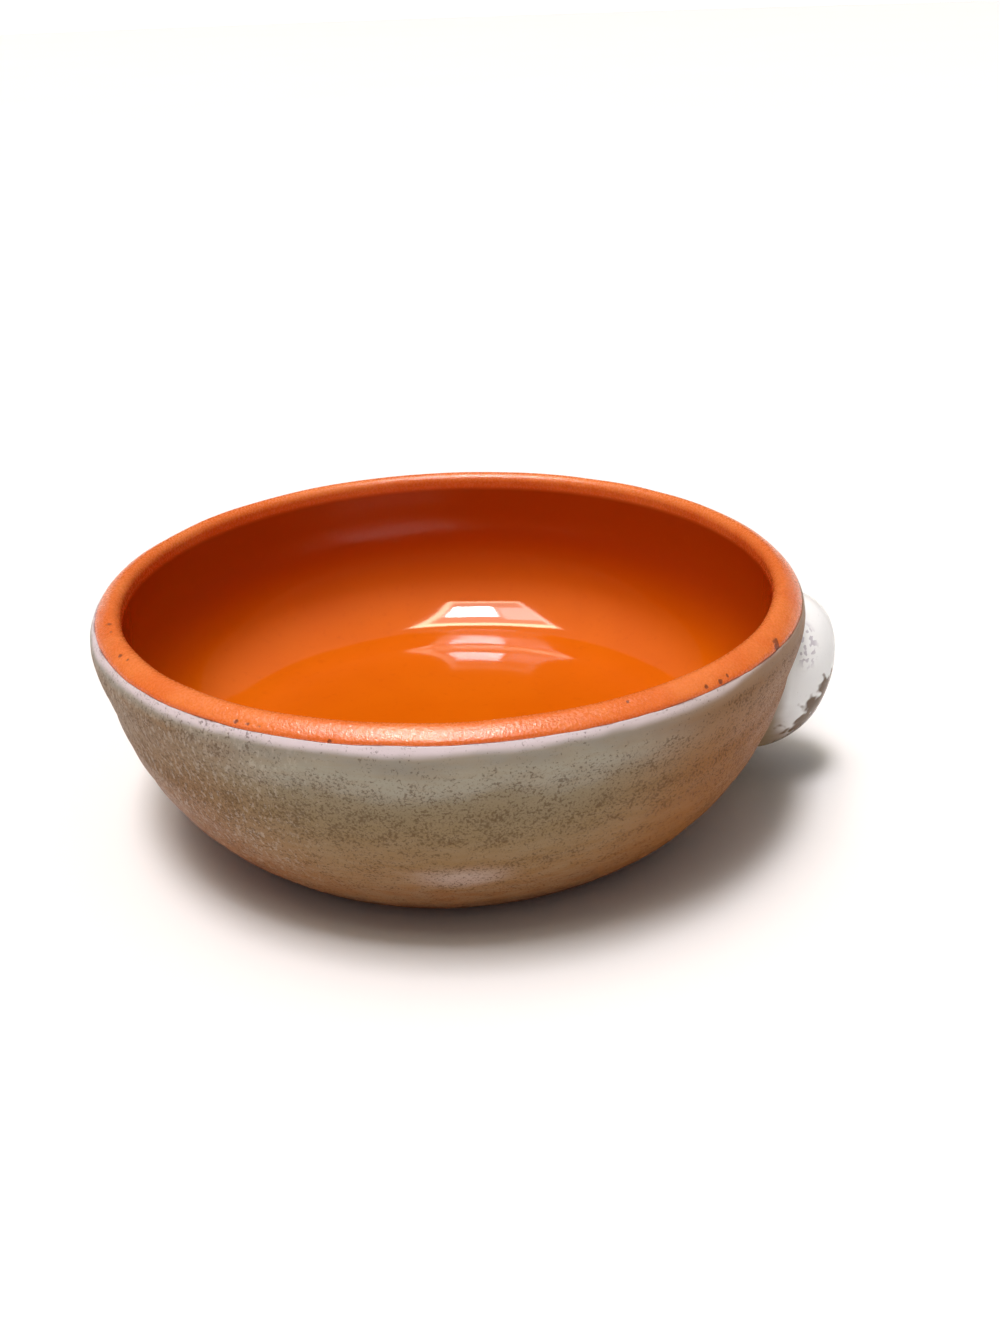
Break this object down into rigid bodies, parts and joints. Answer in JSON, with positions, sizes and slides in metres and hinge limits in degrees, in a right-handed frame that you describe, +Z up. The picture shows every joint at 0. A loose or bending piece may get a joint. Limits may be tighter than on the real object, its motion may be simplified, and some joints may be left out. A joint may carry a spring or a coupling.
{
  "type": "lug soup bowl",
  "caption": "Round earthenware soup bowl with a rolled lip, a glossy lined inside, a speckled glazed outside and a solid rounded lug on its side for lifting.",
  "frame": {"origin": "centre of the flat underside, on the surface that the bowl rests on", "axes": "+Z up along the bowl's axis, +X out through the lug"},
  "size_m": [0.1805, 0.17, 0.0585],
  "materials": {
    "clay": "bare fired clay",
    "slip": "fired slip",
    "orange_glaze": "gloss",
    "cream_glaze": "satin, speckled"
  },
  "bodies": {
    "root": {"bowl_body": "clay", "lug_handle": "clay", "lug_slip": "slip", "inner_glaze": "orange_glaze", "outer_glaze": "cream_glaze"}
  },
  "joints": []
}
